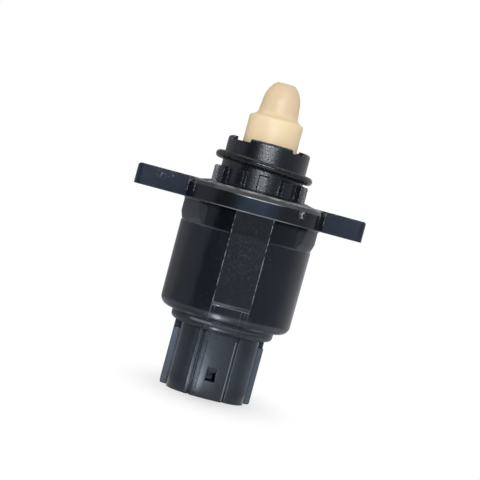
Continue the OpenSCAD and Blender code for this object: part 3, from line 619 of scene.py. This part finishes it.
def dress_nodes():
    """Gives every CAD node the material of its slot and softened edges."""
    slots = {row["node"]: row["material_slot"] for row in frame["record"]["subparts"]}
    usual_width, widths = 0.04, {"housing": 0.12, "nose": 0.10, "pintle": 0.15}
    usual_angle, angles = 30, {"pintle": 45}
    for name, node in frame["nodes"].items():
        node.data.materials.clear()
        node.data.materials.append(MATERIALS[slots[name]])
        soften_edges(node, widths.get(name, usual_width), angles.get(name, usual_angle))


def build_spring():
    """Preload spring of round wire with closed ends."""
    wire, turns = 0.7, 7
    steps, sides = 36, 12
    low, high = corner("preload_spring")
    coil_r = high.x - wire / 2
    foot, head = low.z + wire / 2, high.z - wire / 2
    levels = ((0, foot), (1, foot + wire), (turns - 1, head - wire), (turns, head))
    points = []
    for i in range(turns * steps + 1):
        turn = math.tau * i / steps
        level = along(levels, i / steps)
        for k in range(sides):
            around = math.tau * k / sides
            radius = coil_r + wire / 2 * math.cos(around)
            height = level + wire / 2 * math.sin(around)
            points.append(Vector((radius * math.cos(turn), radius * math.sin(turn), height)) * MM)
    faces = [tuple(range(sides))[::-1], tuple(range(len(points) - sides, len(points)))]
    for i in range(turns * steps):
        for k in range(sides):
            near, beside = i * sides + k, i * sides + (k + 1) % sides
            faces.append((near, beside, beside + sides, near + sides))
    mesh = bpy.data.meshes.new("spring_coil")
    mesh.from_pydata(points, [], faces)
    mesh.shade_smooth()
    mesh.materials.append(MATERIALS["spring_steel"])
    coil = add_object("spring_coil", mesh)
    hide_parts("preload_spring")
    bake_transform(coil)


# Studio

def lamp(name, place, aim, size, power, color=WHITE, mirrored=True):
    """A rectangular soft light that reflections show if it is mirrored. The power is in watts."""
    data = bpy.data.lights.new(name, "AREA")
    data.shape = "RECTANGLE"
    data.size, data.size_y = size[0] * MM, size[1] * MM
    data.energy = power
    data.color = color
    light = add_object(name, data)
    light.visible_glossy = mirrored
    light.location = Vector(place) * MM
    light.rotation_mode = "QUATERNION"
    light.rotation_quaternion = (Vector(aim) - Vector(place)).to_track_quat("-Z", "Y")


def add_sheet(name, corners, material):
    """A flat sheet through four corners, which belongs to the studio."""
    mesh = bpy.data.meshes.new(name)
    mesh.from_pydata([Vector(c) * MM for c in corners], [], [(0, 1, 2, 3)])
    mesh.materials.append(material)
    sheet = add_object(name, mesh)
    return sheet


def floor_material():
    """White floor with the soft shadow that the object has in the photograph, longer in front."""
    covered, reach, core = 9.5, 40, 10
    depth, falloff = 0.335, 1.85
    squeeze = (1.55, 1, 0)
    material = bpy.data.materials.new("floor_white")
    graph = Graph(material)
    place = graph.nodes.new("ShaderNodeTexCoord").outputs["Object"]

    def distance(stretch):
        """Distance from the axis, stretched by direction."""
        per_metre = [value / MM for value in stretch]
        return graph.vector("LENGTH", graph.vector("MULTIPLY", place, per_metre))

    # Painted shadow: the floor's glow is dimmed round the object's foot, furthest out in front.
    nearness = graph.math("DIVIDE", graph.math("SUBTRACT", reach, distance(squeeze)), reach - core)
    fading = graph.math("POWER", graph.math("MAXIMUM", nearness, 0), falloff)
    shadow = graph.math("MULTIPLY", fading, depth)
    glow = graph.nodes.new("ShaderNodeEmission")
    graph.links.new(graph.math("SUBTRACT", 1, shadow), glow.inputs["Strength"])
    paint = graph.nodes.new("ShaderNodeBsdfDiffuse")
    paint.inputs["Color"].default_value = (0.8, 0.8, 0.8, 1)
    under = graph.math("LESS_THAN", distance((1, 1, 0)), covered)
    shown = graph.mix(under, glow.outputs[0], paint.outputs[0])
    picked = graph.mix(graph.seen_directly(), paint.outputs[0], shown)
    output = graph.nodes.new("ShaderNodeOutputMaterial")
    graph.links.new(picked, output.inputs["Surface"])
    return material


def card_material():
    """Card whose light is painted on its points."""
    material = bpy.data.materials.new("studio_card")
    graph = Graph(material)
    painted = graph.nodes.new("ShaderNodeAttribute")
    painted.attribute_name = "glow"
    glow = graph.nodes.new("ShaderNodeEmission")
    output = graph.nodes.new("ShaderNodeOutputMaterial")
    graph.links.new(painted.outputs["Color"], glow.inputs["Color"])
    graph.links.new(glow.outputs[0], output.inputs["Surface"])
    return material


# Light of the room by azimuth: windows at both sides and a dark gap left of the front
ROOM_LEVELS = (
    (-180, 0.30), (-140, 0.28), (-122, 0.38), (-105, 0.29), (-80, 0.34), (-68, 0.30), (-62, 0.01),
    (-42, 0.02), (-20, 0.18), (-4, 0.24), (6, 0.34), (12, 0.40), (24, 0.24), (45, 0.24), (68, 0.28),
    (86, 0.31), (107, 0.48), (122, 0.54), (150, 0.60), (180, 0.30))
# Light of the table close to the object, by azimuth
TABLE_LEVELS = (
    (-112, 0.6), (-100, 0.8), (-34, 0.8), (-28, 1.3), (28, 1.4), (40, 1.1), (100, 1.1), (112, 0.6))


def room_light(azimuth, radius=None):
    """Colour of the room's light, bluer in front than at the sides. The radius changes nothing."""
    side = along(((80, 0), (110, 1)), abs(azimuth))
    in_front, at_sides = Vector((0.90, 1.0, 1.13)), Vector((0.98, 1.0, 1.05))
    return in_front.lerp(at_sides, side) * along(ROOM_LEVELS, azimuth)


def table_light(azimuth, radius):
    """Colour of the table's light: pale close by, as the room further out, and two bright patches."""
    near = along(TABLE_LEVELS, azimuth)
    near *= along(((20, 0.35), (45, 1)), radius)
    far = along(((80, 0), (140, 1)), radius)
    left_patch = 30 * bell(azimuth, -14.5, 3.6) * bell(math.log(radius / 34), 0, 0.42)
    front_patch = 4 * bell(azimuth, 0, 6) * bell(math.log(radius / 31), 0, 0.25)
    shine = left_patch + front_patch
    return Vector((0.88, 0.97, 1.12)) * (near * (1 - far) + shine) + room_light(azimuth) * far


def add_card(name, rings, light):
    """Round card that only reflections see, so that gloss shows a room and not an empty white.

    The rings are (radius, height), and light gives the colour at an azimuth and a radius.
    """
    steps = 180
    row = steps + 1
    turns = [360 * i / steps - 180 for i in range(row)]
    points = [polar(turn, radius, height) * MM for radius, height in rings for turn in turns]
    faces = []
    for j in range(len(rings) - 1):
        for i in range(steps):
            near, far = j * row + i, (j + 1) * row + i
            faces.append((near, near + 1, far + 1, far))
    mesh = bpy.data.meshes.new(name)
    mesh.from_pydata(points, [], faces)
    colors = [light(turn, radius) for radius, height in rings for turn in turns]
    painted = mesh.attributes.new("glow", "FLOAT_COLOR", "POINT")
    for point, color in zip(painted.data, colors):
        point.color = (*color, 1)
    mesh.materials.append(card_material())
    card = add_object(name, mesh)
    card.visible_camera = False
    card.visible_diffuse = False
    card.visible_shadow = False


def build_world():
    """White background, and a dimmer light from all sides for what isn't seen directly."""
    world = bpy.data.worlds.new("studio")
    bpy.context.scene.world = world
    graph = Graph(world)
    output = graph.nodes.new("ShaderNodeOutputWorld")
    ambient = graph.nodes.new("ShaderNodeBackground")
    ambient.inputs["Color"].default_value = (0.97, 0.985, 1.0, 1)
    ambient.inputs["Strength"].default_value = 0.36
    white = graph.nodes.new("ShaderNodeBackground")
    white.inputs["Color"].default_value = (*WHITE, 1)
    white.inputs["Strength"].default_value = 1.0
    picked = graph.mix(graph.seen_directly(), ambient.outputs[0], white.outputs[0])
    graph.links.new(picked, output.inputs["Surface"])


def build_studio():
    """Floor, cards, background and lamps."""
    floor_z = cad_box[0].z / MM
    reach = 1500
    corners = [(-reach, -reach, 0), (reach, -reach, 0), (reach, reach, 0), (-reach, reach, 0)]
    floor = add_sheet("floor", corners, floor_material())
    floor.location.z = floor_z * MM
    room_radius, room_height = 640, 900
    add_card("card_room", [(room_radius, floor_z), (room_radius, room_height)], room_light)
    table_radii = (18, 24, 30, 38, 48, 58, 70, 84, 100, 120, 140, 160, 190, 230, 280, 400, room_radius)
    above_floor = 0.5
    add_card("card_table", [(radius, floor_z + above_floor) for radius in table_radii], table_light)
    build_world()
    middle = (0, 0, -5)
    cool, warm = (0.90, 0.97, 1.06), (1, 0.98, 0.96)
    fill_size, fill_power = (120, 200), 0.42
    lamp("key", polar(-2.5, 470, 112), middle, size=(280, 44), power=1.55, color=cool)
    lamp("top", polar(-10, 200, 420), middle, size=(200, 160), power=0.36, mirrored=False)
    lamp("left_fill", polar(-104, 420, 120), middle, fill_size, fill_power, color=warm, mirrored=False)
    lamp("right_fill", polar(100, 420, 120), middle, fill_size, fill_power, mirrored=False)


def place_camera():
    """The photograph's view: level with the flange, a little to the left, and leaning."""
    eye = Vector((-20.2, -339.4, -3.0)) * MM
    aim = Vector((-1.14, 0.07, -12.5)) * MM
    lean = math.radians(15.03)
    data = bpy.data.cameras.new("camera")
    data.sensor_width = 36
    data.lens = 100.5
    data.clip_start, data.clip_end = 0.01, 10
    camera = add_object("camera", data)
    camera.location = eye
    camera.rotation_mode = "QUATERNION"
    camera.rotation_quaternion = (aim - eye).to_track_quat("-Z", "Y") @ Quaternion((0, 0, 1), lean)
    bpy.context.scene.camera = camera


dress_nodes()
build_spring()
build_studio()
place_camera()
bpy.context.scene.view_settings.view_transform = "Standard"
